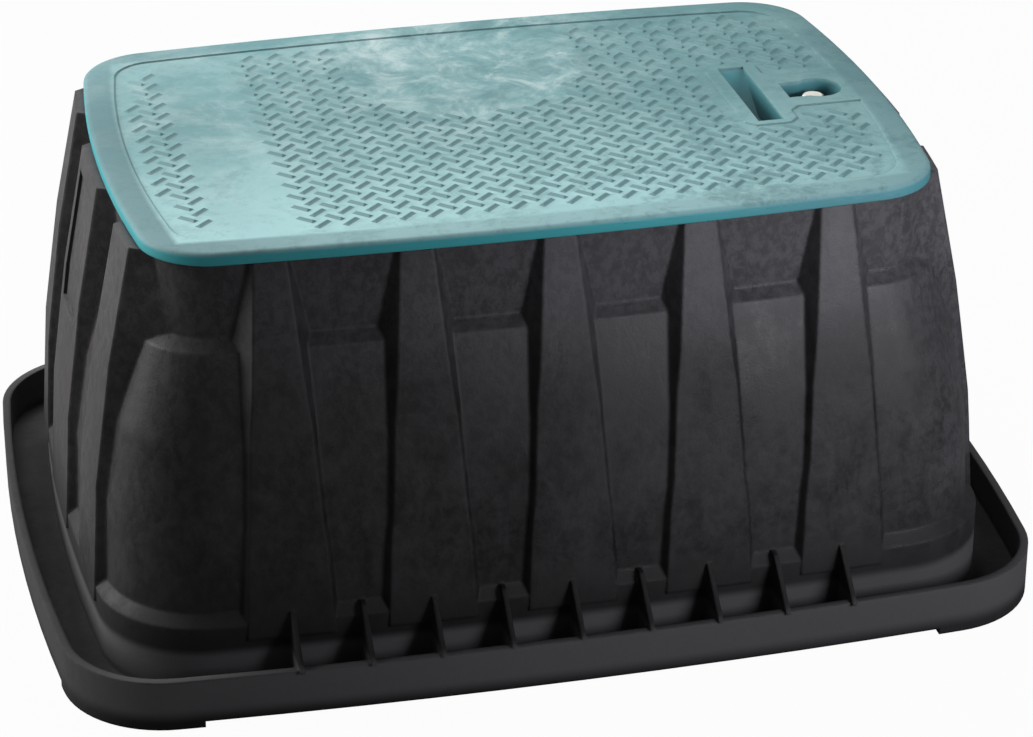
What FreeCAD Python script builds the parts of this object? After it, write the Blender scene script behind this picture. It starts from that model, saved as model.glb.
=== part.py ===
import FreeCAD, Part
import math
import os
import re
import Sketcher

os.makedirs("parts", exist_ok=True)
doc = FreeCAD.newDocument("ValveBox")
V = FreeCAD.Vector

# Sizes in millimetres. A flare is how far an outline stands out from the collar's.
sheet = doc.addObject("Spreadsheet::Sheet", "Sizes")
SIZES = [
    ("collar_length", 554), ("collar_width", 368), ("collar_radius", 46),
    ("end_bow", 16), ("side_bow", 11), ("wall", 4.5),
    ("body_height", 304.4), ("collar_bottom", 249), ("ledge_drop", 7.5),
    ("panel_top_flare", 8), ("panel_bottom_flare", 38), ("panel_bulge", 2.1), ("panel_bottom", 57),
    ("base_flare", 45), ("base_radius", 74),
    ("pilaster_pitch", 96.4), ("pilaster_top_width", 22), ("pilaster_middle_width", 42),
    ("pilaster_bottom_width", 65), ("pilaster_middle", 190), ("pilaster_draft", 30),
    ("pilaster_foot", 46), ("pilaster_top_flare", 4.5), ("pilaster_foot_flare", 46.5),
    ("pilaster_bulge", 1.6), ("pilaster_hollow_top", 282),
    ("end_pilaster_place", 119), ("end_pilaster_top_width", 42), ("end_pilaster_middle_width", 48),
    ("end_pilaster_bottom_width", 60), ("end_pilaster_top_flare", 11),
    ("centre_pilaster_top_width", 76), ("centre_pilaster_middle_width", 80), ("centre_pilaster_bottom_width", 84),
    ("knockout_width", 58), ("knockout_bottom", 196), ("knockout_top", 290), ("knockout_sunk", 2.5),
    ("seat_width", 14), ("seat_thickness", 5),
    ("flange_length", 708), ("flange_width", 521), ("flange_radius", 74),
    ("flange_end_bow", 18.5), ("flange_side_bow", 15), ("rim_height", 36.5), ("rim_thickness", 5.5),
    ("floor_thickness", 4.5), ("foot_height", 4.5), ("side_foot_place", 258), ("end_foot_place", 178),
    ("gusset_thickness", 3.4), ("gusset_height", 65),
    ("lid_length", 564), ("lid_width", 382), ("lid_radius", 50.5), ("lid_edge", 8.8),
    ("lid_round", 3.6), ("lid_plate", 5), ("lid_ring_depth", 22), ("lid_ring_gap", 2), ("lid_rib", 4),
    ("border_width", 20.5), ("field_depth", 0.9), ("field_slope", 1.4), ("pad_corner", 7),
    ("tread_pitch", 19), ("tread_length", 15.8), ("tread_width", 7.2), ("tread_height", 2.1),
    ("tread_ridge", 10.5),
    ("pocket_place", 188), ("pocket_width", 19), ("pocket_length", 102), ("pocket_depth", 23), ("pocket_ramp", 40),
    ("keyhole_start", 213), ("keyhole_end", 255.5), ("keyhole_width", 27.5), ("keyhole_depth", 13),
    ("keyhole_radius", 17),
    ("bolt_place", 235), ("bolt_radius", 4.7), ("bolt_length", 44), ("bolt_hole_gap", 0.6),
    ("head_across", 14.2), ("head_height", 6), ("washer_radius", 11), ("washer_thickness", 1.6),
    ("nut_across", 19), ("nut_height", 8), ("nut_top", 280), ("bracket_wall", 4),
    ("bracket_floor", 6), ("seat_gap", 0.3), ("thread_gap", 0.05), ("rib_pitch", 78), ("rib_setback", 2),
    ("pad_left", 168.5), ("pad_middle", 207), ("pad_length", 114), ("strip_width", 58),
    ("bare_strip_start", -222), ("bare_strip_end", -162), ("bare_patch_place", -3),
    ("bare_patch_back", 112), ("bare_patch_length", 178), ("bare_patch_width", 206),
]
for row, (alias, value) in enumerate(SIZES, start=1):
    sheet.set("A%d" % row, alias)
    sheet.set("B%d" % row, str(value))
    sheet.setAlias("B%d" % row, alias)
doc.recompute()


def named(formula):
    """The formula with each size looked up in the sheet, such as wall * 2 as Sizes.wall * 2."""
    return re.sub(r"[a-z][a-z_]*(?!\()\b", lambda word: "Sizes." + word.group(), formula)


def value(formula):
    return float(sheet.evalExpression(named(formula)))


STEPS = 3

# Plan outlines: bowed sides and ends that meet in round corners.
COLLAR = {
    "long": "collar_length / 2 + ({0})", "wide": "collar_width / 2 + ({0})",
    "end_bow": "end_bow", "side_bow": "side_bow",
    "radius": "collar_radius + ({0}) * (base_radius - collar_radius) / base_flare",
}
FLANGE = {
    "long": "flange_length / 2 + ({0})", "wide": "flange_width / 2 + ({0})",
    "end_bow": "flange_end_bow", "side_bow": "flange_side_bow", "radius": "flange_radius + ({0})",
}
LID = {
    "long": "lid_length / 2 + ({0})", "wide": "lid_width / 2 + ({0})",
    "end_bow": "end_bow", "side_bow": "side_bow", "radius": "lid_radius + ({0})",
}


def bind(item, path, formula):
    item.setExpression(path, named(formula))


def new_body(label):
    body = doc.addObject("PartDesign::Body", label)
    body.Label = label
    return body


def new_sketch(body, label, plane, height):
    """A sketch on one of the body's own planes, moved along its normal."""
    sketch = body.newObject("Sketcher::SketchObject", label)
    origin = [item for item in body.Origin.OriginFeatures if item.Role == plane][0]
    sketch.AttachmentSupport = [(origin, "")]
    sketch.MapMode = "FlatFace"
    bind(sketch, "AttachmentOffset.Base.z", height)
    return sketch


def rule(sketch, kind, *places, formula=None):
    """One constraint, with its size bound to the sheet where it has one."""
    if formula is None:
        return sketch.addConstraint(Sketcher.Constraint(kind, *places))
    number = sketch.addConstraint(Sketcher.Constraint(kind, *places, value(formula)))
    bind(sketch, "Constraints[%d]" % number, formula)
    return number


def arc(centre, radius, start, end):
    return Part.ArcOfCircle(Part.Circle(V(centre[0], centre[1], 0), V(0, 0, 1), radius), start, end)


def outline(body, label, family, flare, height):
    """Eight tangent arcs: two ends, two sides and four corners."""
    size = {key: "(" + text.format(flare) + ")" for key, text in family.items()}
    end_radius = "(({wide})^2 + ({end_bow})^2) / (2 * {end_bow})".format(**size)
    side_radius = "(({long})^2 + ({side_bow})^2) / (2 * {side_bow})".format(**size)
    a, b, r = value(size["long"]), value(size["wide"]), value(size["radius"])
    ra, rb = value(end_radius), value(side_radius)
    gap = math.hypot(ra - a, rb - b)
    inner, outer = ra - r, rb - r
    along = (inner * inner - outer * outer + gap * gap) / (2 * gap)
    across = math.sqrt(inner * inner - along * along)
    ux, uy = (ra - a) / gap, -(rb - b) / gap
    cx, cy = a - ra + ux * along - uy * across, uy * along + ux * across
    first, second = math.atan2(cy, cx - (a - ra)), math.atan2(cy - (b - rb), cx)
    half, turn = math.pi / 2, math.pi
    sketch = new_sketch(body, label, "XY_Plane", height)
    arcs = [
        arc((a - ra, 0), ra, -first, first), arc((cx, cy), r, first, second),
        arc((0, b - rb), rb, second, turn - second), arc((-cx, cy), r, turn - second, turn - first),
        arc((ra - a, 0), ra, turn - first, turn + first), arc((-cx, -cy), r, turn + first, turn + second),
        arc((0, rb - b), rb, turn + second, 2 * turn - second), arc((cx, -cy), r, -second, -first),
    ]
    sketch.addGeometry(arcs, False)
    for i in range(8):
        rule(sketch, "Tangent", i, 2, (i + 1) % 8, 1)
    for i in (0, 4):
        rule(sketch, "PointOnObject", i, 3, -1)
        rule(sketch, "Radius", i, formula=end_radius)
    for i in (2, 6):
        rule(sketch, "PointOnObject", i, 3, -2)
        rule(sketch, "Radius", i, formula=side_radius)
    for i in (1, 3, 5, 7):
        rule(sketch, "Radius", i, formula=size["radius"])
    to_end, to_side = end_radius + " - " + size["long"], side_radius + " - " + size["wide"]
    rule(sketch, "DistanceX", 0, 3, -1, 1, formula=to_end)
    rule(sketch, "DistanceX", -1, 1, 4, 3, formula=to_end)
    rule(sketch, "DistanceY", 2, 3, -1, 1, formula=to_side)
    rule(sketch, "DistanceY", -1, 1, 6, 3, formula=to_side)
    return sketch


def slab(label, family, flare, bottom, top):
    """An outline raised straight up from bottom to top."""
    body = new_body(label)
    profile = outline(body, label + "_outline", family, flare, bottom)
    pad = body.newObject("PartDesign::Pad", label + "_pad")
    pad.Profile = profile
    bind(pad, "Length", "(%s) - (%s)" % (top, bottom))
    return body


def bulge(low, high, low_flare, high_flare, power):
    """Heights and flares of a wall that starts upright at the bottom and leans in more and more."""
    levels = []
    for i in range(STEPS + 1):
        share = i / STEPS
        height = "({0}) + (({1}) - ({0})) * {2}".format(low, high, share)
        flare = "({0}) + (({1}) - ({0})) * {2} ^ ({3})".format(low_flare, high_flare, share, power)
        levels.append((height, flare))
    return levels


def tapered(label, family, levels):
    """A wall through outlines, each given as its height and flare."""
    body = new_body(label)
    sketches = [outline(body, "%s_%d" % (label, i), family, flare, height) for i, (height, flare) in enumerate(levels)]
    loft = body.newObject("PartDesign::AdditiveLoft", label + "_loft")
    loft.Profile = sketches[0]
    loft.Sections = sketches[1:]
    loft.Ruled = True
    return body


def polygon(body, label, plane, height, shapes):
    """A sketch of straight-sided shapes, each corner placed from the sheet."""
    sketch = new_sketch(body, label, plane, height)
    for points in shapes:
        spots = [V(value(x), value(y), 0) for x, y in points]
        first = sketch.GeometryCount
        count = len(points)
        for i in range(count):
            sketch.addGeometry(Part.LineSegment(spots[i], spots[(i + 1) % count]), False)
        for i in range(count):
            rule(sketch, "Coincident", first + i, 2, first + (i + 1) % count, 1)
            rule(sketch, "DistanceX", -1, 1, first + i, 1, formula=points[i][0])
            rule(sketch, "DistanceY", -1, 1, first + i, 1, formula=points[i][1])
    return sketch


def comb(label, plane, start, length, shapes):
    """Straight-sided shapes in one sketch, pushed through the whole box."""
    body = new_body(label)
    pad = body.newObject("PartDesign::Pad", label + "_pad")
    pad.Profile = polygon(body, label + "_sketch", plane, start, shapes)
    bind(pad, "Length", length)
    return body


def combine(kind, label, items):
    result = doc.addObject("Part::" + kind, label)
    if kind == "Cut":
        result.Base, result.Tool = items
    else:
        result.Shapes = items
    result.Label = label
    return result


def rectangle(left, right, low, high):
    return [(left, low), (right, low), (right, high), (left, high)]


# Box walls: a straight collar, a ledge, bulging panels, a second ledge and a base band.
def walls(label, inset, rise):
    """The plain wall without pilasters, its faces moved in by inset and its ledges by rise."""
    lowest = "floor_thickness" if inset == "0" else "-5"
    base = slab(label + "_base", COLLAR, "base_flare - (%s)" % inset, lowest, "panel_bottom - (%s)" % rise)
    panel_levels = [("panel_bottom - (%s)" % rise, "base_flare - (%s)" % inset)] + bulge(
        "panel_bottom + ledge_drop - (%s)" % rise, "collar_bottom - ledge_drop - (%s)" % rise,
        "panel_bottom_flare - (%s)" % inset, "panel_top_flare - (%s)" % inset, "panel_bulge",
    ) + [("collar_bottom - (%s)" % rise, "0 - (%s)" % inset)]
    panels = tapered(label + "_panels", COLLAR, panel_levels)
    low = "collar_bottom - ledge_drop - (%s) - 1" % rise
    high = "body_height" if inset == "0" else "body_height - seat_thickness"
    collar = slab(label + "_collar", COLLAR, "0 - (%s)" % inset, low, high)
    return combine("MultiFuse", label, [base, panels, collar])


def wedge(label, widths, place, inset, on_end):
    """A pilaster's drafted sides, wider inside the wall than at its face, through four levels."""
    body = new_body(label)
    reach, bow = ("collar_length", "end_bow") if on_end else ("collar_width", "side_bow")
    run = "collar_width" if on_end else "collar_length"
    dip = "%s * (2 * (%s) / %s) ^ 2" % (bow, place, run)
    top_flare = "end_pilaster_top_flare" if on_end else "pilaster_top_flare"
    flare_text = "(pilaster_foot_flare + (%s - pilaster_foot_flare) * (({0} - pilaster_foot) / %s) ^ pilaster_bulge)" % (
        top_flare, "(body_height - pilaster_foot)")
    low_middle = "((pilaster_foot - 20 + pilaster_middle) / 2)"
    levels = [
        ("pilaster_foot - 20", widths[0], "pilaster_foot_flare"),
        (low_middle, "((%s) + (%s)) / 2" % (widths[0], widths[1]), flare_text.format(low_middle)),
        ("pilaster_middle", widths[1], flare_text.format("pilaster_middle")),
        ("body_height", widths[2], top_flare),
    ]
    sketches = []
    for i, (height, width, flare) in enumerate(levels):
        points = []
        for side, out in ((-1, 4), (1, 4), (1, None), (-1, None)):
            outward = "%s - (%s) + %d" % (flare, inset, out) if out else "0 - 3 * wall"
            half = "(%s) / 2 - (%s) - (%s - (%s)) * tan(pilaster_draft)" % (width, inset, outward, flare)
            along = "%s + (%d) * (%s)" % (place, side, half)
            across = "0 - (%s / 2 + %s - %s)" % (reach, outward, dip)
            points.append((across, along) if on_end else (along, across))
        sketches.append(polygon(body, "%s_%d" % (label, i), "XY_Plane", height, [points]))
    loft = body.newObject("PartDesign::AdditiveLoft", label + "_loft")
    loft.Profile = sketches[0]
    loft.Sections = sketches[1:]
    loft.Ruled = True
    return body


def mirrored(item, normal):
    mirror = doc.addObject("Part::Mirroring", item.Name + "_mirrored")
    mirror.Source = item
    mirror.Normal = normal
    return mirror


def pilasters(label, inset, top):
    """Wedges on the sides and ends, cut from flared skins so that each face follows the bow."""
    foot, face = "pilaster_foot - (%s)" % inset, "pilaster_foot_flare - (%s)" % inset
    side_skin = tapered(label + "_skin", COLLAR, bulge(
        foot, top, face, "pilaster_top_flare - (%s)" % inset, "pilaster_bulge"))
    end_skin = tapered(label + "_end_skin", COLLAR, bulge(
        foot, top, face, "end_pilaster_top_flare - (%s)" % inset, "pilaster_bulge"))
    widths = ["pilaster_bottom_width", "pilaster_middle_width", "pilaster_top_width"]
    end_widths = ["end_" + width for width in widths]
    centre_widths = ["centre_" + width for width in widths]
    front = combine("MultiFuse", label + "_front", [
        wedge("%s_side_%d" % (label, i + 3), widths, "%d * pilaster_pitch" % i, inset, False) for i in range(-2, 3)])
    left = combine("MultiFuse", label + "_left", [
        wedge(label + "_near_end", end_widths, "0 - end_pilaster_place", inset, True),
        wedge(label + "_centre_end", centre_widths, "0", inset, True),
        wedge(label + "_far_end", end_widths, "end_pilaster_place", inset, True)])
    sides = combine("MultiFuse", label + "_sides", [front, mirrored(front, V(0, 1, 0))])
    ends = combine("MultiFuse", label + "_ends", [left, mirrored(left, V(1, 0, 0))])
    return combine("MultiFuse", label, [
        combine("MultiCommon", label + "_on_sides", [side_skin, sides]),
        combine("MultiCommon", label + "_on_ends", [end_skin, ends]),
    ])


outer_walls = walls("outer_walls", "0", "0")
inner_walls = walls("inner_walls", "wall", "wall")
outer_pilasters = pilasters("outer_pilasters", "0", "body_height - 0.5")
inner_pilasters = pilasters("inner_pilasters", "wall", "pilaster_hollow_top")

# The knock-out in the middle of each end is a thinner plate, sunk a little into the wide pilaster.
knockout_skin = tapered("knockout_skin", COLLAR, bulge(
    "pilaster_foot", "body_height + 1", "pilaster_foot_flare - knockout_sunk",
    "end_pilaster_top_flare - knockout_sunk", "pilaster_bulge"))
knockout_shape = rectangle("0 - knockout_width / 2", "knockout_width / 2", "knockout_bottom", "knockout_top")
knockout_comb = comb("knockout_comb", "YZ_Plane", "0 - flange_length", "2 * flange_length", [knockout_shape])
knockouts = combine("Cut", "knockouts", [knockout_comb, knockout_skin])

# Flange: a floor on four corner feet with an upstanding rim.
floor_top = "foot_height + floor_thickness"
flange_floor = slab("flange_floor", FLANGE, "0", "0", floor_top)
rim_outside = slab("rim_outside", FLANGE, "0", "0", "rim_height")
rim_inside = slab("rim_inside", FLANGE, "0 - rim_thickness", "0 - 1", "rim_height + 1")
rim = combine("Cut", "rim", [rim_outside, rim_inside])
foot_gaps = combine("MultiFuse", "foot_gaps", [
    comb("side_foot_gap", "XZ_Plane", "0 - flange_width", "2 * flange_width", [
        rectangle("0 - side_foot_place", "side_foot_place", "0 - 1", "foot_height")]),
    comb("end_foot_gap", "YZ_Plane", "0 - flange_length", "2 * flange_length", [
        rectangle("0 - end_foot_place", "end_foot_place", "0 - 1", "foot_height")]),
])
flange = combine("Cut", "flange", [combine("MultiFuse", "flange_whole", [flange_floor, rim]), foot_gaps])

# Gussets: thin fins from the wall down to the rim, front and back.
gusset_skirt = tapered("gusset_skirt", COLLAR, [
    ("rim_height - 0.5", "base_flare + 34"), ("gusset_height", "base_flare + 1"),
])
gusset_base = slab("gusset_base", FLANGE, "0 - rim_thickness / 2", "foot_height", "rim_height")
gusset_shapes = []
for i in range(-4, 5):
    centre = "%d * pilaster_pitch / 2" % i
    gusset_shapes.append(rectangle(
        centre + " - gusset_thickness / 2", centre + " + gusset_thickness / 2",
        "0 - flange_width / 2", "flange_width / 2"))
gusset_comb = comb("gusset_comb", "XY_Plane", "foot_height", "gusset_height - foot_height", gusset_shapes)
gussets = combine("MultiCommon", "gussets", [
    combine("MultiFuse", "gusset_envelope", [gusset_skirt, gusset_base]), gusset_comb])

outside = combine("MultiFuse", "outside", [outer_walls, outer_pilasters, flange, gussets])
opening = slab("opening", COLLAR, "0 - seat_width", "body_height - seat_thickness - 1", "body_height + 1")
inside = combine("MultiFuse", "inside", [inner_walls, inner_pilasters, opening])
shell = combine("Cut", "shell", [outside, inside])


# Bracket inside the right end with a pocket that holds the nut.
def block(label, left, right, low, high, bottom, top):
    return comb(label, "XY_Plane", bottom, "(%s) - (%s)" % (top, bottom), [rectangle(left, right, low, high)])


def turned(label, place, radius, bottom, top):
    """An upright cylinder at a place along the box."""
    cylinder = doc.addObject("Part::Cylinder", label)
    bind(cylinder, "Radius", radius)
    bind(cylinder, "Height", "(%s) - (%s)" % (top, bottom))
    bind(cylinder, "Placement.Base.x", place)
    bind(cylinder, "Placement.Base.z", bottom)
    return cylinder


half_nut = "(nut_across / 2 + seat_gap)"
nut_bottom = "nut_top - nut_height"
bracket = block(
    "bracket", "bolt_place - %s - bracket_wall" % half_nut, "collar_length / 2 + end_pilaster_top_flare + wall",
    "0 - %s - bracket_wall" % half_nut, "%s + bracket_wall" % half_nut,
    nut_bottom + " - bracket_floor", "nut_top")
nut_pocket = block(
    "nut_pocket", "bolt_place - %s" % half_nut, "bolt_place + %s" % half_nut,
    "0 - %s" % half_nut, half_nut, nut_bottom, "nut_top + 1")
bracket_hole = turned(
    "bracket_hole", "bolt_place", "bolt_radius + bolt_hole_gap", nut_bottom + " - bracket_floor - 1", nut_bottom + " + 1")
nut_seat = combine("MultiFuse", "nut_seat", [nut_pocket, bracket_hole])
box_body = combine("Cut", "box_body", [
    combine("MultiFuse", "shell_with_bracket", [shell, bracket]),
    combine("MultiFuse", "body_cuts", [nut_seat, knockouts])])

# Cover: a plate that rests on the collar, with a locating ring and ribs under it.
cover_top = "body_height + lid_edge"
plate_bottom = "body_height + lid_edge - lid_plate"
ring_bottom = "body_height - lid_ring_depth"
plate = combine("MultiFuse", "plate", [
    slab("plate_edge", LID, "0", "body_height", cover_top + " - lid_round"),
    tapered("plate_bevel", LID, [
        (cover_top + " - lid_round", "0"), (cover_top + " - 0.5 * lid_round", "0 - 0.13 * lid_round"),
        (cover_top + " - 0.13 * lid_round", "0 - 0.5 * lid_round"), (cover_top, "0 - lid_round")]),
])

ring = slab("ring", COLLAR, "0 - seat_width - lid_ring_gap", ring_bottom, "body_height + 1")
hollow_flare = "0 - seat_width - lid_ring_gap - lid_rib"
hollow = slab("hollow", COLLAR, hollow_flare, ring_bottom + " - 1", plate_bottom)
tray = combine("Cut", "tray", [combine("MultiFuse", "tray_whole", [plate, ring]), hollow])

rib_shapes = [
    rectangle("%d * rib_pitch - lid_rib / 2" % i, "%d * rib_pitch + lid_rib / 2" % i, "0 - lid_width / 2", "lid_width / 2")
    for i in (-3, -2, -1, 0, 1, 2)
]
long_rib_shapes = [
    rectangle("0 - lid_length / 2", "lid_length / 2", "%d * rib_pitch - lid_rib / 2" % i, "%d * rib_pitch + lid_rib / 2" % i)
    for i in (-1, 1)
]
rib_height = "lid_ring_depth - rib_setback + lid_edge - lid_plate + 1"
rib_start = ring_bottom + " + rib_setback"
rib_area = slab("rib_area", COLLAR, hollow_flare + " + 1", rib_start, plate_bottom + " + 1")
rib_combs = combine("MultiFuse", "rib_combs", [
    comb("cross_ribs", "XY_Plane", rib_start, rib_height, rib_shapes),
    comb("long_ribs", "XY_Plane", rib_start, rib_height, long_rib_shapes),
])
ribs = combine("MultiCommon", "ribs", [rib_area, rib_combs])

# Finger pocket: a ramp goes down from its far end to a flat floor, its other sides are upright.
pocket_floor = cover_top + " - pocket_depth"
pocket_left, pocket_right = "pocket_place - pocket_width / 2", "pocket_place + pocket_width / 2"
pocket = comb("pocket", "YZ_Plane", pocket_left, "pocket_width", [[
    ("0 - pocket_length / 2", pocket_floor), ("pocket_length / 2 - pocket_ramp", pocket_floor),
    ("pocket_length / 2", cover_top + " - 1"), ("pocket_length / 2", cover_top + " + 3"),
    ("0 - pocket_length / 2", cover_top + " + 3"),
]])
pocket_tub = block(
    "pocket_tub", pocket_left + " - lid_rib", pocket_right + " + lid_rib",
    "0 - pocket_length / 2 - lid_rib", "pocket_length / 2 + lid_rib", pocket_floor + " - lid_rib", plate_bottom + " + 1")

# Keyhole recess: square at its left, wider and round at its right, with the bolt standing in it.
keyhole_floor = cover_top + " - keyhole_depth"
keyhole_middle = "keyhole_end - keyhole_radius"
keyhole = combine("MultiFuse", "keyhole", [
    block("keyhole_square", "keyhole_start", keyhole_middle, "0 - keyhole_width / 2", "keyhole_width / 2",
          keyhole_floor, cover_top + " + 3"),
    turned("keyhole_round", keyhole_middle, "keyhole_radius", keyhole_floor, cover_top + " + 3"),
])
keyhole_tub = combine("MultiFuse", "keyhole_tub", [
    block("tub_square", "keyhole_start - lid_rib", keyhole_middle, "0 - keyhole_width / 2 - lid_rib",
          "keyhole_width / 2 + lid_rib", keyhole_floor + " - lid_rib", plate_bottom + " + 1"),
    turned("tub_round", keyhole_middle, "keyhole_radius + lid_rib", keyhole_floor + " - lid_rib", plate_bottom + " + 1"),
])
bolt_hole = turned(
    "bolt_hole", "bolt_place", "bolt_radius + bolt_hole_gap", keyhole_floor + " - lid_rib - 1", keyhole_floor + " + 1")

# The treaded field lies a little lower than the border and the pad round the pocket and keyhole.
field_floor = cover_top + " - field_depth"


def pad_shape(grow):
    """The pocket's rectangle, its corners cut, with the keyhole's strip running off to the border."""
    left, middle = "pad_left - (%s)" % grow, "pad_middle + (%s)" % grow
    half, strip = "pad_length / 2 + (%s)" % grow, "strip_width / 2 + (%s)" % grow
    end = "lid_length / 2"
    upper = [
        (end, strip), (middle + " + pad_corner", strip), (middle, strip + " + pad_corner"),
        (middle, half + " - pad_corner"), (middle + " - pad_corner", half),
        (left + " + pad_corner", half), (left, half + " - pad_corner"),
    ]
    lower = [(x, "0 - (%s)" % y) for x, y in reversed(upper)]
    return upper + lower


def field_level(label, inset, grow, bottom, top):
    """The field's outline between two heights, with the pad left standing."""
    whole = slab(label + "_whole", LID, "0 - border_width - (%s)" % inset, bottom, top)
    pad = comb(label + "_pad", "XY_Plane", bottom, "(%s) - (%s)" % (top, bottom), [pad_shape(grow)])
    return combine("Cut", label, [whole, pad])


field = combine("MultiFuse", "field", [
    field_level("field_edge", "0", "0", cover_top + " - field_depth / 2", cover_top + " + 1"),
    field_level("field_floor", "field_slope / 2", "field_slope / 2", field_floor, cover_top + " + 1"),
])


# Tread: short raised bars at plus and minus 45 degrees, the two directions half a pitch apart.
def bow_room(x, y, inset):
    """True where a point is inside the border's curved edge by the inset."""
    half_long, half_wide = value("lid_length / 2") - inset, value("lid_width / 2") - inset
    long_here = half_long - value("end_bow") * (y / half_wide) ** 2
    wide_here = half_wide - value("side_bow") * (x / half_long) ** 2
    if abs(x) > long_here or abs(y) > wide_here:
        return False
    corner = value("lid_radius") - inset
    away_x, away_y = abs(x) - (long_here - corner), abs(y) - (wide_here - corner)
    return not (away_x > 0 and away_y > 0 and math.hypot(away_x, away_y) > corner)


def is_treaded(x, y):
    inset = value("border_width + field_slope + 1 + tread_length / 2")
    if not bow_room(x, y, inset):
        return False
    reach = value("tread_length / 2 + field_slope")
    if x > value("pad_left") - reach and abs(y) < value("pad_length / 2") + reach and x < value("pad_middle") + reach:
        return False
    if x > value("pad_middle") - reach and abs(y) < value("strip_width / 2") + reach:
        return False
    if value("bare_strip_start") < x < value("bare_strip_end"):
        return False
    along = (x - value("bare_patch_place")) / value("bare_patch_length / 2")
    across = (y - value("bare_patch_back")) / value("bare_patch_width / 2")
    return math.hypot(along, across) > 1


def tread_bar():
    """One bar with sloped sides and a ridge along its top, its foot sunk into the field's floor."""
    half_long, half_wide, half_ridge = value("tread_length / 2"), value("tread_width / 2"), value("tread_ridge / 2")
    height, sunk = value("tread_height"), value("tread_height / 3")
    wedge_bar = Part.makeWedge(
        -half_long, 0, -half_wide, 0, -half_ridge, half_long, height, half_wide, 0, half_ridge)
    wedge_bar.rotate(V(0, 0, 0), V(1, 0, 0), 90)
    wedge_bar.translate(V(0, 0, -sunk))
    return wedge_bar


one_bar = tread_bar()


def bar(x, y, angle):
    placed = one_bar.copy()
    spot = FreeCAD.Placement(V(x, y, value(field_floor)), FreeCAD.Rotation(V(0, 0, 1), angle))
    placed.Placement = spot.multiply(one_bar.Placement)
    return placed


pitch = value("tread_pitch")
bars = []
for i in range(-15, 16):
    for j in range(-10, 11):
        for x, y, angle in ((i * pitch, j * pitch, 45), ((i + 0.5) * pitch, (j + 0.5) * pitch, -45)):
            if is_treaded(x, y):
                bars.append(bar(x, y, angle))
tread = doc.addObject("Part::Feature", "tread")
tread.Shape = Part.makeCompound(bars)
print("bars", len(bars))

cover_solid = combine("MultiFuse", "cover_solid", [tray, ribs, pocket_tub, keyhole_tub])
cover_cuts = combine("MultiFuse", "cover_cuts", [pocket, keyhole, bolt_hole, field])
cover_plain = combine("Cut", "cover_plain", [cover_solid, cover_cuts])
cover = combine("MultiFuse", "cover", [cover_plain, tread])


# Lock bolt, its washer and the nut it screws into.
def hexagon(across):
    """Corners of a hexagon about the bolt, flats facing the box's sides."""
    corners = []
    for i in range(6):
        angle = math.radians(60 * i)
        along, over = round(math.cos(angle) / math.sqrt(3), 6), round(math.sin(angle) / math.sqrt(3), 6)
        corners.append(("bolt_place + %s * (%f)" % (across, along), "%s * (%f)" % (across, over)))
    return corners


washer_top = keyhole_floor + " + washer_thickness"
head_top = washer_top + " + head_height"
head = comb("head", "XY_Plane", washer_top, "head_height", [hexagon("head_across")])
shank = turned("shank", "bolt_place", "bolt_radius", head_top + " - bolt_length", washer_top + " + 1")
lock_bolt = combine("MultiFuse", "lock_bolt", [head, shank])
washer_disc = turned("washer_disc", "bolt_place", "washer_radius", keyhole_floor, washer_top)
washer_bore = turned(
    "washer_bore", "bolt_place", "bolt_radius + bolt_hole_gap / 2", keyhole_floor + " - 1", washer_top + " + 1")
bolt_washer = combine("Cut", "bolt_washer", [washer_disc, washer_bore])
nut_block = block(
    "nut_block", "bolt_place - nut_across / 2", "bolt_place + nut_across / 2",
    "0 - nut_across / 2", "nut_across / 2", nut_bottom, "nut_top")
nut_bore = turned("nut_bore", "bolt_place", "bolt_radius + thread_gap", nut_bottom + " - 1", "nut_top + 1")
square_nut = combine("Cut", "square_nut", [nut_block, nut_bore])

doc.recompute()
for item in doc.Objects:
    if {"Invalid", "Error"} & set(item.State):
        raise RuntimeError("%s did not build" % item.Name)
for node in (box_body, cover, lock_bolt, bolt_washer, square_nut):
    shape = node.Shape
    if shape.isNull() or not shape.isValid() or len(shape.Solids) != 1:
        raise RuntimeError("%s is not one sound solid" % node.Label)
    shape.exportStep("parts/%s.step" % node.Label)
    print(node.Label, shape.BoundBox, round(shape.Volume / 1000))
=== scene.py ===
import bpy
import math
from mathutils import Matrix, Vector


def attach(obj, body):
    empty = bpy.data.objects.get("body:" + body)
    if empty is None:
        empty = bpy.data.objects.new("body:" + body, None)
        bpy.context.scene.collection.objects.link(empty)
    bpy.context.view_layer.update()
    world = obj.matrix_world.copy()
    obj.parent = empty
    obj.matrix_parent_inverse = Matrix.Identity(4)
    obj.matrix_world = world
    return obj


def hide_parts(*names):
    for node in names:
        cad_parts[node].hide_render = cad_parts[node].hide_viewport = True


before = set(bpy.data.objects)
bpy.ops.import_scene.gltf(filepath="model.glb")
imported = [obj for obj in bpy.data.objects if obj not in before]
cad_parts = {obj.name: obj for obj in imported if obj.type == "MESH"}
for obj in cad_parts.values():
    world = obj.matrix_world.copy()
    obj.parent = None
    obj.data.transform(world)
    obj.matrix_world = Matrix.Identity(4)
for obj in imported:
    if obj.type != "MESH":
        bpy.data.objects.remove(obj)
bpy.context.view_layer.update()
print("frame loaded")


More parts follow.
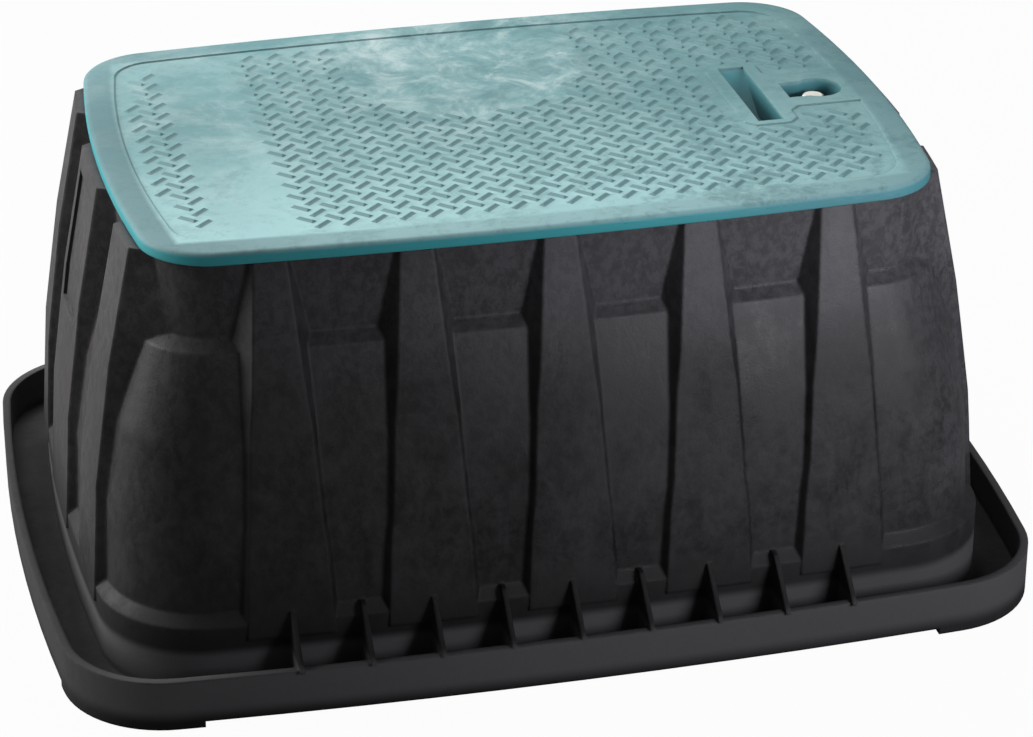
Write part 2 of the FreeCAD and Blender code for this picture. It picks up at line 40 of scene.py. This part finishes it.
class Wire:
    # a node's output that can stand in a sum
    def __init__(self, look, socket):
        self.look, self.socket = look, socket

    def sum(self, operation, *terms):
        return self.look.node("ShaderNodeMath", {"operation": operation}, dict(enumerate(terms)))

    def __add__(self, other):
        return self.sum("ADD", self, other)

    def __radd__(self, other):
        return self.sum("ADD", other, self)

    def __sub__(self, other):
        return self.sum("SUBTRACT", self, other)

    def __rsub__(self, other):
        return self.sum("SUBTRACT", other, self)

    def __mul__(self, other):
        return self.sum("MULTIPLY", self, other)

    def __rmul__(self, other):
        return self.sum("MULTIPLY", other, self)

    def size(self):
        return self.sum("ABSOLUTE", self)

    def least(self, other):
        return self.sum("MINIMUM", self, other)


class Look:
    # a material and its nodes
    def __init__(self, name):
        self.material = bpy.data.materials.new(name)
        self.material.use_nodes = True
        self.tree = self.material.node_tree
        self.shader = self.tree.nodes["Principled BSDF"]
        self.place = self.node("ShaderNodeTexCoord", {}, {}, "Object")

    def node(self, kind, settings, inputs, output=0):
        made = self.tree.nodes.new(kind)
        for key, value in settings.items():
            setattr(made, key, value)
        for key, value in inputs.items():
            if isinstance(value, Wire):
                self.tree.links.new(value.socket, made.inputs[key])
            else:
                made.inputs[key].default_value = value
        return Wire(self, made.outputs[output])

    def axis(self, letter):
        return self.node("ShaderNodeSeparateXYZ", {}, {"Vector": self.place}, letter)

    def noise(self, scale, detail=4, rough=0.55, stretch=(1, 1, 1), warp=0):
        spot = self.node("ShaderNodeMapping", {}, {"Vector": self.place, "Scale": stretch})
        return self.node("ShaderNodeTexNoise", {}, {
            "Vector": spot, "Scale": scale, "Detail": detail, "Roughness": rough, "Distortion": warp})

    def smooth(self, wire, low, high):
        # 0 below the low value, 1 above the high one
        settings = {"interpolation_type": "SMOOTHSTEP"}
        return self.node("ShaderNodeMapRange", settings, {"Value": wire, "From Min": low, "From Max": high})

    def mix(self, share, first, second):
        tint = [value if isinstance(value, Wire) else (*value, 1) for value in (first, second)]
        return self.node("ShaderNodeMix", {"data_type": "RGBA"}, {0: share, 6: tint[0], 7: tint[1]}, 2)

    def roundedBump(self, plan, height):
        # softens the edges by the plan's radius and adds the fine relief
        rounded = self.node("ShaderNodeBevel", {"samples": 6}, {"Radius": plan["edge"]})
        return self.node("ShaderNodeBump", {}, {
            "Strength": plan["relief"], "Distance": plan["reliefDepth"], "Height": height, "Normal": rounded})

    def paint(self, **inputs):
        for key, value in inputs.items():
            socket = self.shader.inputs[key.replace("_", " ")]
            if isinstance(value, Wire):
                self.tree.links.new(value.socket, socket)
            else:
                socket.default_value = (*value, 1) if isinstance(value, tuple) else value

    def dress(self, thing):
        thing.data.materials.clear()
        thing.data.materials.append(self.material)


def deselectAll():
    if bpy.context.object and bpy.context.object.mode != "OBJECT":
        bpy.ops.object.mode_set(mode="OBJECT")
    bpy.ops.object.select_all(action="DESELECT")


def pickFaces(thing, wanted):
    # edit mode with only the wanted faces selected
    bpy.ops.object.mode_set(mode="EDIT")
    bpy.ops.mesh.select_mode(type="FACE")
    bpy.ops.mesh.select_all(action="DESELECT")
    bpy.ops.object.mode_set(mode="OBJECT")
    for face in thing.data.polygons:
        face.select = wanted(thing.matrix_world @ face.center, face.normal)
    bpy.ops.object.mode_set(mode="EDIT")


def modify(thing, kind, **settings):
    bpy.context.view_layer.objects.active = thing
    modifier = thing.modifiers.new(kind.lower(), kind)
    for key, value in settings.items():
        setattr(modifier, key, value)
    bpy.ops.object.modifier_apply(modifier=modifier.name)


def settle(thing, name, degrees=35):
    # the piece's place goes into its mesh
    deselectAll()
    thing.select_set(True)
    bpy.context.view_layer.objects.active = thing
    bpy.ops.object.transform_apply(location=True, rotation=True, scale=True)
    bpy.ops.object.shade_smooth_by_angle(angle=math.radians(degrees))
    thing.name = name
    thing.data.name = name
    return thing


def smoothCopy(node, name, degrees):
    # a node's own shape with its loose triangles joined, so that its curved walls shade smoothly
    deselectAll()
    piece = bpy.data.objects.new(name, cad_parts[node].data.copy())
    bpy.context.scene.collection.objects.link(piece)
    piece.select_set(True)
    bpy.context.view_layer.objects.active = piece
    bpy.ops.mesh.customdata_custom_splitnormals_clear()
    bpy.ops.object.mode_set(mode="EDIT")
    bpy.ops.mesh.select_all(action="SELECT")
    bpy.ops.mesh.remove_doubles(threshold=0.00002)
    bpy.ops.object.mode_set(mode="OBJECT")
    return settle(piece, name, degrees)


def markFaces(thing, name, wanted):
    # an attribute that is 1 on the wanted faces
    layer = thing.data.attributes.new(name, "FLOAT", "FACE")
    for face in thing.data.polygons:
        layer.data[face.index].value = 1.0 if wanted(face.center, face.normal) else 0.0


# the angle, distance and lens were solved from the photo's edges
cameraPlan = {
    "azimuth": -13.5, "elevation": 26.5, "distance": 2.5534, "target": (0.0141, -0.0058, 0.116),
    "focalShare": 3499.8 / 1033, "sensor": 36,
}


def setCamera(plan):
    azimuth, elevation = math.radians(plan["azimuth"]), math.radians(plan["elevation"])
    level = math.cos(elevation)
    back = Vector((math.sin(azimuth) * level, -math.cos(azimuth) * level, math.sin(elevation)))
    data = bpy.data.cameras.new("photoCamera")
    data.sensor_width = plan["sensor"]
    data.lens = plan["sensor"] * plan["focalShare"]
    data.clip_start, data.clip_end = 0.1, 50
    camera = bpy.data.objects.new("photoCamera", data)
    camera.location = Vector(plan["target"]) + back * plan["distance"]
    camera.rotation_euler = back.to_track_quat("Z", "Y").to_euler()
    bpy.context.scene.collection.objects.link(camera)
    bpy.context.scene.camera = camera


setCamera(cameraPlan)
print("camera set")

# black structural foam, cloudy where the foam swirled, with painted light on its upper walls and far end,
# painted shade at its foot and a painted sheen on its rim;
# a pair is where a change of tone starts and ends, a Band or side in metres, a Cut in the noise's own value
bodyPlan = {
    "dark": (0.0050, 0.0050, 0.0054), "pale": (0.0210, 0.0206, 0.0220), "dust": (0.052, 0.048, 0.044),
    "rim": (0.072, 0.072, 0.075), "topLight": (0.070, 0.069, 0.076), "wearAndPaintedLight": (0.090, 0.084, 0.080),
    "swirl": 9, "mottle": 42, "dustScale": 26, "fleck": 150, "dimple": 95, "grain": 900,
    "cloudCut": (0.40, 0.62), "dustCut": (0.52, 0.8),
    "cloudShare": 0.6, "fleckShare": 0.4, "dustShare": 0.22, "lowDustShare": 0.15, "footShadeShare": 0.75,
    "dustBand": (0.0, 0.09), "topBand": (0.19, 0.28), "topLightAlong": (-0.25, 0.1),
    "eastCorner": (0.24, 0.31), "aboveFoot": (0.06, 0.1),
    "footShadeBand": (0.03, 0.11), "footRoughBand": (0.03, 0.09),
    "rimFoot": (0.004, 0.016), "rimTop": (0.034, 0.042), "rimWest": (-0.35, -0.3), "rimEast": (-0.15, 0.25),
    "westEnd": (-0.31, -0.25), "pastCorner": (-0.16, -0.11), "aboveBase": (0.05, 0.1),
    "edge": 0.0034, "relief": 0.45, "reliefDepth": 0.0006, "smoothAngle": 28,
    "roughLow": 0.44, "roughHigh": 0.64, "dustRough": 0.3, "footRough": 0.3, "gloss": 0.24,
}


def bodyLook(plan):
    look = Look("blackFoam")
    along, across, height = look.axis("X"), look.axis("Y"), look.axis("Z")
    swirl = look.noise(plan["swirl"], detail=6, rough=0.6, stretch=(1, 1, 0.45), warp=1.2)
    mottle = look.noise(plan["mottle"], detail=5, rough=0.65, stretch=(1, 1, 0.7), warp=0.8)
    cloud = look.smooth(swirl * 0.5 + mottle * 0.5, *plan["cloudCut"])
    fleck = look.noise(plan["fleck"], detail=5, rough=0.75, stretch=(1, 1, 0.8), warp=0.3)
    fleck = look.smooth(fleck, *plan["cloudCut"])
    tone = cloud * plan["cloudShare"] + fleck * plan["fleckShare"]
    colour = look.mix(tone, plan["dark"], plan["pale"])
    low = 1 - look.smooth(height, *plan["dustBand"])
    dust = look.noise(plan["dustScale"], detail=8, rough=0.7, stretch=(1, 1, 0.6), warp=0.4)
    dust = look.smooth(dust, *plan["dustCut"]) * (plan["dustShare"] + low * plan["lowDustShare"])
    colour = look.mix(dust, colour, plan["dust"])
    # painted light below the cover, stronger towards the keyhole's end, and on that end's corners
    topLight = look.smooth(height, *plan["topBand"]) * (0.45 + look.smooth(along, *plan["topLightAlong"]) * 0.55)
    corner = look.smooth(along, *plan["eastCorner"]) * look.smooth(height, *plan["aboveFoot"])
    topLight = topLight * (0.4 + fleck * 0.3) + corner * (0.2 + fleck * 0.2)
    colour = look.mix(topLight.least(1), colour, plan["topLight"])
    # painted shade darkens the foot of the walls and the flange's floor, and a painted sheen makes the rim
    # paler
    footShade = 1 - look.smooth(height, *plan["footShadeBand"])
    colour = look.mix(footShade * plan["footShadeShare"], colour, plan["dark"])
    # painted sheen on the rim, weaker towards both ends
    onRim = look.smooth(height, *plan["rimFoot"]) * (1 - look.smooth(height, *plan["rimTop"]))
    rimSheen = 0.3 + look.smooth(along, *plan["rimWest"]) * 0.65 - look.smooth(along, *plan["rimEast"]) * 0.42
    colour = look.mix(onRim * rimSheen, colour, plan["rim"])
    # painted light on the end away from the keyhole
    wearAndPaintedLight = 1 - look.smooth(along, *plan["westEnd"])
    wearAndPaintedLight = wearAndPaintedLight * look.smooth(across, *plan["pastCorner"]) * look.smooth(height, *plan["aboveBase"])
    colour = look.mix(wearAndPaintedLight * (0.06 + fleck * 0.12 + dust * 0.5), colour, plan["wearAndPaintedLight"])
    rough = plan["roughLow"] + tone * (plan["roughHigh"] - plan["roughLow"]) + dust * plan["dustRough"]
    rough = rough + (1 - look.smooth(height, *plan["footRoughBand"])) * plan["footRough"]
    grain = look.noise(plan["grain"], detail=2, rough=0.5) * 0.35
    grain = grain + look.noise(plan["dimple"], detail=3, rough=0.5) * 0.65
    bump = look.roundedBump(plan, grain + swirl * 1.4 + mottle * 0.8)
    look.paint(Base_Color=colour, Roughness=rough, Normal=bump, Specular_IOR_Level=plan["gloss"])
    return look


boxBody = smoothCopy("box_body", "boxBody", bodyPlan["smoothAngle"])
bodyLook(bodyPlan).dress(boxBody)
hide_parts("box_body")
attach(boxBody, "box")
print("body dressed")

# blue-green structural foam with pale clouds and a worn patch; the pairs are as for the body,
# and halfLong, halfWide and the two bows are those of the cover's outline
coverPlan = {
    "deep": (0.100, 0.228, 0.240), "pale": (0.178, 0.308, 0.318), "chalk": (0.300, 0.402, 0.406),
    "stainAndShade": (0.070, 0.158, 0.168), "paintedFrontLight": (0.315, 0.530, 0.540), "border": (0.041, 0.105, 0.120),
    "skirt": (0.027, 0.255, 0.282), "skirtEast": (0.050, 0.180, 0.205),
    "white": (0.400, 0.490, 0.490), "hollow": (0.012, 0.050, 0.058),
    "top": 0.3132, "halfLong": 0.282, "halfWide": 0.191, "endBow": 0.016, "sideBow": 0.011,
    "groove": (0.017, 0.023), "sideFoot": 0.0036, "sideTop": 0.0008, "fieldDepth": 0.0009,
    "cloudScales": (11, 34), "chalkScale": 19, "stainScales": (15, 90), "patchNoise": 26,
    "fine": 420, "wave": 60,
    "cloudCut": (0.40, 0.62), "chalkCut": (0.45, 0.66), "stainCut": (0.46, 0.60),
    "patchPaleCut": (0.46, 0.68), "patchDarkCut": (0.36, 0.48),
    "westBand": (-0.16, 0.09), "frontBand": (-0.19, 0.05), "eastBand": (0.02, 0.3), "stainBand": (-0.1, 0.2),
    "borderWest": (-0.27, -0.1), "backBand": (0.05, 0.17), "slopeBack": (0.0, 0.15),
    "skirtTurn": (0.02, 0.22), "hollowBand": (0.289, 0.309),
    "frontShare": 0.85, "eastShare": 0.5, "patchPaleShare": 0.75, "patchDarkShare": 0.6, "hollowShare": 0.8,
    "patchPlace": (0.03, -0.86, 0), "patchScale": (10, 8, 0), "patchEdge": (0.7, 1.35),
    "edge": 0.0011, "relief": 0.3, "reliefDepth": 0.0005, "smoothAngle": 36,
    "rough": 0.52, "cloudRough": 0.1, "fineRough": 0.12, "gloss": 0.3,
}


def coverLook(plan):
    look = Look("tealFoam")
    along, across, height = look.axis("X"), look.axis("Y"), look.axis("Z")
    cloud = look.noise(plan["cloudScales"][0], detail=7, rough=0.62, warp=0.9) * 0.6
    cloud = cloud + look.noise(plan["cloudScales"][1], detail=6, rough=0.66, warp=0.6) * 0.4
    cloud = look.smooth(cloud, *plan["cloudCut"])
    colour = look.mix(cloud, plan["deep"], plan["pale"])
    chalk = look.smooth(look.noise(plan["chalkScale"], detail=9, rough=0.72, warp=0.5), *plan["chalkCut"])
    west = 1 - look.smooth(along, *plan["westBand"])
    colour = look.mix(chalk * (0.22 + west * 0.28), colour, plan["chalk"])
    # painted light along the front of the cover
    front = 1 - look.smooth(across, *plan["frontBand"])
    colour = look.mix(front * plan["frontShare"], colour, plan["paintedFrontLight"])
    # painted shade, darker towards the keyhole's end
    colour = look.mix(look.smooth(along, *plan["eastBand"]) * plan["eastShare"], colour, plan["stainAndShade"])
    stain = look.noise(plan["stainScales"][0], detail=8, rough=0.7, warp=0.8) * 0.5
    stain = stain + look.noise(plan["stainScales"][1], detail=6, rough=0.75, warp=0.4) * 0.5
    stain = look.smooth(stain, *plan["stainCut"]) * (0.3 + look.smooth(along, *plan["stainBand"]) * 0.3)
    colour = look.mix(stain, colour, plan["stainAndShade"])
    # the border outside the groove is deeper, most of all at the end away from the keyhole
    endGap = plan["halfLong"] - along.size() - across * across * (plan["endBow"] / plan["halfWide"] ** 2)
    sideGap = plan["halfWide"] - across.size() - along * along * (plan["sideBow"] / plan["halfLong"] ** 2)
    onBorder = 1 - look.smooth(endGap.least(sideGap), *plan["groove"])
    share = 0.72 - look.smooth(along, *plan["borderWest"]) * 0.4
    share = share - look.smooth(across, *plan["backBand"]) * 0.28
    colour = look.mix(onBorder * share, colour, plan["border"])
    # the worn patch behind the middle, where the cover has no tread
    spot = look.node("ShaderNodeMapping", {}, {
        "Vector": look.place, "Location": plan["patchPlace"], "Scale": plan["patchScale"]})
    away = look.node("ShaderNodeVectorMath", {"operation": "LENGTH"}, {0: spot}, "Value")
    wearAndPaintedLight = 1 - look.smooth(away, *plan["patchEdge"])
    patches = look.noise(plan["patchNoise"], detail=9, rough=0.72, warp=0.7)
    palePatch = wearAndPaintedLight * look.smooth(patches, *plan["patchPaleCut"])
    colour = look.mix(palePatch * plan["patchPaleShare"], colour, plan["white"])
    darkPatch = wearAndPaintedLight * (1 - look.smooth(patches, *plan["patchDarkCut"]))
    colour = look.mix(darkPatch * plan["patchDarkShare"], colour, plan["stainAndShade"])
    # painted shade on the tread's flanks, colour of the outer edge, painted shade down in the pocket and the
    # keyhole
    slopeShade = look.node("ShaderNodeAttribute", {"attribute_name": "treadSlope"}, {}, "Fac")
    slopeShade = slopeShade * (0.8 - look.smooth(across, *plan["slopeBack"]) * 0.4)
    colour = look.mix(slopeShade, colour, plan["stainAndShade"])
    onSide = 1 - look.smooth(height, plan["top"] - plan["sideFoot"], plan["top"] - plan["sideTop"])
    skirt = look.mix(look.smooth(along, *plan["skirtTurn"]), plan["skirt"], plan["skirtEast"])
    colour = look.mix(onSide, colour, skirt)
    deep = 1 - look.smooth(height, *plan["hollowBand"])
    colour = look.mix(deep * plan["hollowShare"], colour, plan["hollow"])
    fine = look.noise(plan["fine"], detail=3, rough=0.6)
    wave = look.noise(plan["wave"], detail=3, rough=0.5)
    rough = plan["rough"] + cloud * plan["cloudRough"] + fine * plan["fineRough"]
    bump = look.roundedBump(plan, fine * 0.4 + wave * 0.6)
    look.paint(Base_Color=colour, Roughness=rough, Normal=bump, Specular_IOR_Level=plan["gloss"])
    return look


def onTreadSlope(spot, normal):
    # the flanks of the bars face up and outwards, close under the cover's top
    return spot.z > coverPlan["top"] - coverPlan["fieldDepth"] and 0.5 < normal.z < 0.95


lid = smoothCopy("cover", "lid", coverPlan["smoothAngle"])
markFaces(lid, "treadSlope", onTreadSlope)
coverLook(coverPlan).dress(lid)
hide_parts("cover")
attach(lid, "box")
print("cover dressed")

# stainless bolt, washer and nut
boltPlan = {
    "x": 0.235, "flats": 0.0142, "headLow": 0.3018, "headTop": 0.3078,
    "chamferDrop": 0.0010, "chamferShare": 0.80,
    "low": 0.2638, "major": 0.0047, "minor": 0.0040, "pitch": 0.0015875, "threadTop": 0.2880,
    "tip": 0.0006, "fillet": 0.0004, "slack": 0.0001, "runOut": 0.0002,
    "coneSides": 48, "threadSteps": 24, "coreSteps": 32, "smoothAngle": 30,
}
washerPlan = {"outer": 0.0109, "inner": 0.0051, "low": 0.3002, "high": 0.3018, "edge": 0.0003, "steps": 48}
nutPlan = {
    "low": 0.2720, "high": 0.2800, "across": 0.0190, "bore": 0.00475, "edge": 0.0008,
    "cutDepth": 0.02, "boreSides": 32,
}
steelPlan = {
    "bright": (0.80, 0.78, 0.71), "stain": (0.55, 0.50, 0.42), "stainShare": 0.45, "metal": 0.85,
    "streak": 700, "spots": 260, "spotCut": (0.52, 0.75), "rough": 0.34, "streakRough": 0.2,
    "relief": 0.25, "reliefDepth": 0.0001,
}
mergeGap = 0.00001


def stainlessLook(plan):
    look = Look("stainlessSteel")
    streak = look.noise(plan["streak"], detail=4, rough=0.6, stretch=(1, 1, 0.2))
    spots = look.smooth(look.noise(plan["spots"], detail=5, rough=0.7), *plan["spotCut"])
    colour = look.mix(spots * plan["stainShare"], plan["bright"], plan["stain"])
    bump = look.node("ShaderNodeBump", {}, {
        "Strength": plan["relief"], "Distance": plan["reliefDepth"], "Height": streak})
    rough = plan["rough"] + streak * plan["streakRough"]
    look.paint(Base_Color=colour, Metallic=plan["metal"], Roughness=rough, Normal=bump)
    return look


def addProfile(name, points, plan):
    # an open line in the plane that runs out from the bolt's axis
    mesh = bpy.data.meshes.new(name)
    mesh.from_pydata([(r, 0, z) for r, z in points], [(i, i + 1) for i in range(len(points) - 1)], [])
    thing = bpy.data.objects.new(name, mesh)
    thing.location = (plan["x"], 0, 0)
    bpy.context.scene.collection.objects.link(thing)
    deselectAll()
    thing.select_set(True)
    bpy.context.view_layer.objects.active = thing
    return thing


def revolve(thing, steps, **settings):
    modify(thing, "SCREW", axis="Z", steps=steps, render_steps=steps, use_merge_vertices=True,
           merge_threshold=mergeGap, **settings)


def turnOutwards():
    # every face of the active piece faces outwards
    bpy.ops.object.mode_set(mode="EDIT")
    bpy.ops.mesh.select_all(action="SELECT")
    bpy.ops.mesh.normals_make_consistent(inside=False)
    bpy.ops.object.mode_set(mode="OBJECT")


def makeBolt(plan):
    deselectAll()
    height = plan["headTop"] - plan["headLow"]
    corner = plan["flats"] / math.sqrt(3)
    middle = (plan["x"], 0, (plan["headTop"] + plan["headLow"]) / 2)
    bpy.ops.mesh.primitive_cylinder_add(
        vertices=6, radius=corner, depth=height, location=middle, rotation=(0, 0, math.radians(30)))
    head = bpy.context.object
    # a round form that narrows at its top takes the head's upper corners off
    reachOut = corner + plan["slack"]
    bpy.ops.mesh.primitive_cylinder_add(
        vertices=plan["coneSides"], radius=reachOut, depth=height, location=middle)
    cutter = bpy.context.object
    pickFaces(cutter, lambda spot, normal: normal.z > 0.9)
    bpy.ops.transform.resize(value=(plan["chamferShare"], plan["chamferShare"], 1))
    bpy.ops.object.mode_set(mode="OBJECT")
    pickFaces(cutter, lambda spot, normal: abs(normal.z) < 0.9)
    bpy.ops.mesh.subdivide(number_cuts=1)
    bpy.ops.object.mode_set(mode="OBJECT")
    for point in cutter.data.vertices:
        if abs((cutter.matrix_world @ point.co).z - middle[2]) < 0.0001:
            point.co.z = height / 2 - plan["chamferDrop"]
            reach = math.hypot(point.co.x, point.co.y)
            point.co.x *= reachOut / reach
            point.co.y *= reachOut / reach
    modify(head, "BOOLEAN", operation="INTERSECT", object=cutter, solver="EXACT")
    bpy.data.objects.remove(cutter, do_unlink=True)
    turns = round((plan["threadTop"] - plan["low"] - 2 * plan["tip"]) / plan["pitch"])
    base = plan["low"] + plan["tip"]
    tooth = [
        (plan["minor"], base), (plan["major"], base + plan["pitch"] / 2), (plan["minor"], base + plan["pitch"])]
    thread = addProfile("threadLine", tooth, plan)
    revolve(thread, plan["threadSteps"], screw_offset=plan["pitch"], iterations=turns)
    high = base + plan["pitch"] * (turns + 1)
    core = addProfile("coreLine", [
        (0, plan["low"]), (plan["minor"] - plan["tip"], plan["low"]),
        (plan["minor"], plan["low"] + plan["tip"]), (plan["minor"], high - plan["runOut"]),
        (plan["major"], high + plan["tip"]),
        (plan["major"], plan["headLow"] - plan["fillet"]), (plan["major"] + plan["fillet"], plan["headLow"]),
        (0, plan["headLow"])], plan)
    revolve(core, plan["coreSteps"])
    deselectAll()
    for part in (thread, core, head):
        part.select_set(True)
    bpy.context.view_layer.objects.active = head
    bpy.ops.object.join()
    turnOutwards()
    return settle(head, "lockBolt", plan["smoothAngle"])


def makeWasher(plan, place):
    edge = plan["edge"]
    ring = addProfile("washerLine", [
        (plan["inner"] + edge, plan["low"]), (plan["outer"] - edge, plan["low"]),
        (plan["outer"], plan["low"] + edge), (plan["outer"], plan["high"] - edge),
        (plan["outer"] - edge, plan["high"]), (plan["inner"] + edge, plan["high"]),
        (plan["inner"], plan["high"] - edge), (plan["inner"], plan["low"] + edge),
        (plan["inner"] + edge, plan["low"])], place)
    revolve(ring, plan["steps"])
    modify(ring, "WELD", merge_threshold=mergeGap)
    turnOutwards()
    return settle(ring, "boltWasher")


def makeNut(plan, place):
    deselectAll()
    middle = (place["x"], 0, (plan["low"] + plan["high"]) / 2)
    bpy.ops.mesh.primitive_cube_add(size=1, location=middle)
    nut = bpy.context.object
    bpy.ops.transform.resize(value=(plan["across"], plan["across"], plan["high"] - plan["low"]))
    bpy.ops.object.transform_apply(location=False, rotation=False, scale=True)
    modify(nut, "BEVEL", width=plan["edge"], segments=2, limit_method="ANGLE")
    deselectAll()
    bpy.ops.mesh.primitive_cylinder_add(
        vertices=plan["boreSides"], radius=plan["bore"], depth=plan["cutDepth"], location=middle)
    bore = bpy.context.object
    modify(nut, "BOOLEAN", operation="DIFFERENCE", object=bore, solver="EXACT")
    bpy.data.objects.remove(bore, do_unlink=True)
    return settle(nut, "squareNut")


steel = stainlessLook(steelPlan)
for piece, node, body in (
    (makeBolt(boltPlan), "lock_bolt", "bolt"),
    (makeWasher(washerPlan, boltPlan), "bolt_washer", "washer"),
    (makeNut(nutPlan, boltPlan), "square_nut", "box"),
):
    steel.dress(piece)
    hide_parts(node)
    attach(piece, body)
print("fastener made")

# three soft lamps: above the back, low before the right front, and beyond the left end
lampPlan = {
    "softTop": {"place": (-0.25, 0.95, 1.6), "aim": (0, 0, 0.15), "size": (1.5, 0.9), "power": 29,
                "tint": (1.0, 1.0, 1.0), "spread": 180},
    "softFront": {"place": (0.66, -1.15, 0.56), "aim": (0.34, -0.2, 0.22), "size": (0.5, 0.4), "power": 2.2,
                  "tint": (0.95, 0.94, 1.0), "spread": 58},
    "softLeft": {"place": (-1.75, 0.7, 0.95), "aim": (0, 0, 0.15), "size": (1.3, 1.3), "power": 60,
                 "tint": (1.0, 0.98, 0.965), "spread": 180},
}


def addLamp(name, plan):
    data = bpy.data.lights.new(name, "AREA")
    data.shape = "RECTANGLE"
    data.size, data.size_y = plan["size"]
    data.energy, data.color = plan["power"], plan["tint"]
    data.spread = math.radians(plan["spread"])
    lamp = bpy.data.objects.new(name, data)
    lamp.location = plan["place"]
    lamp.rotation_euler = (Vector(plan["place"]) - Vector(plan["aim"])).to_track_quat("Z", "Y").to_euler()
    bpy.context.scene.collection.objects.link(lamp)


for lampName, plan in lampPlan.items():
    addLamp(lampName, plan)

# a pale floor, seen white by the camera, and a white world
roomPlan = {
    "floorSize": 14, "floorTone": (0.2, 0.2, 0.2), "floorRough": 0.9, "glowShare": 0.97,
    "light": 0.1, "gloss": 0.15,
}


def makeFloor(plan):
    deselectAll()
    bpy.ops.mesh.primitive_plane_add(size=plan["floorSize"], location=(0, 0, 0))
    floor = bpy.context.object
    floor.name = "floor"
    look = Look("paleFloor")
    look.paint(Base_Color=plan["floorTone"], Roughness=plan["floorRough"])
    seen = look.node("ShaderNodeLightPath", {}, {}, "Is Camera Ray")
    glow = look.node("ShaderNodeEmission", {}, {"Color": (1, 1, 1, 1), "Strength": 1.0})
    plain = Wire(look, look.shader.outputs[0])
    both = look.node("ShaderNodeMixShader", {}, {0: seen * plan["glowShare"], 1: plain, 2: glow})
    look.tree.links.new(both.socket, look.tree.nodes["Material Output"].inputs["Surface"])
    look.dress(floor)


def makeWorld(plan):
    # white to the camera and in gloss, softer as light
    world = bpy.data.worlds.new("whiteRoom")
    world.use_nodes = True
    tree = world.node_tree
    path = tree.nodes.new("ShaderNodeLightPath")
    seen = tree.nodes.new("ShaderNodeMath")
    seen.operation = "MAXIMUM"
    tree.links.new(path.outputs["Is Camera Ray"], seen.inputs[0])
    tree.links.new(path.outputs["Is Transmission Ray"], seen.inputs[1])
    gloss = tree.nodes.new("ShaderNodeMath")
    gloss.operation = "MULTIPLY_ADD"
    tree.links.new(path.outputs["Is Glossy Ray"], gloss.inputs[0])
    gloss.inputs[1].default_value = plan["gloss"]
    tree.links.new(seen.outputs[0], gloss.inputs[2])
    strength = tree.nodes.new("ShaderNodeMapRange")
    tree.links.new(gloss.outputs[0], strength.inputs["Value"])
    strength.inputs["To Min"].default_value = plan["light"]
    strength.inputs["To Max"].default_value = 1.0
    background = tree.nodes["Background"]
    background.inputs["Color"].default_value = (1, 1, 1, 1)
    tree.links.new(strength.outputs[0], background.inputs["Strength"])
    bpy.context.scene.world = world


makeFloor(roomPlan)
makeWorld(roomPlan)
bpy.context.scene.view_settings.view_transform = "Standard"
print("studio set")
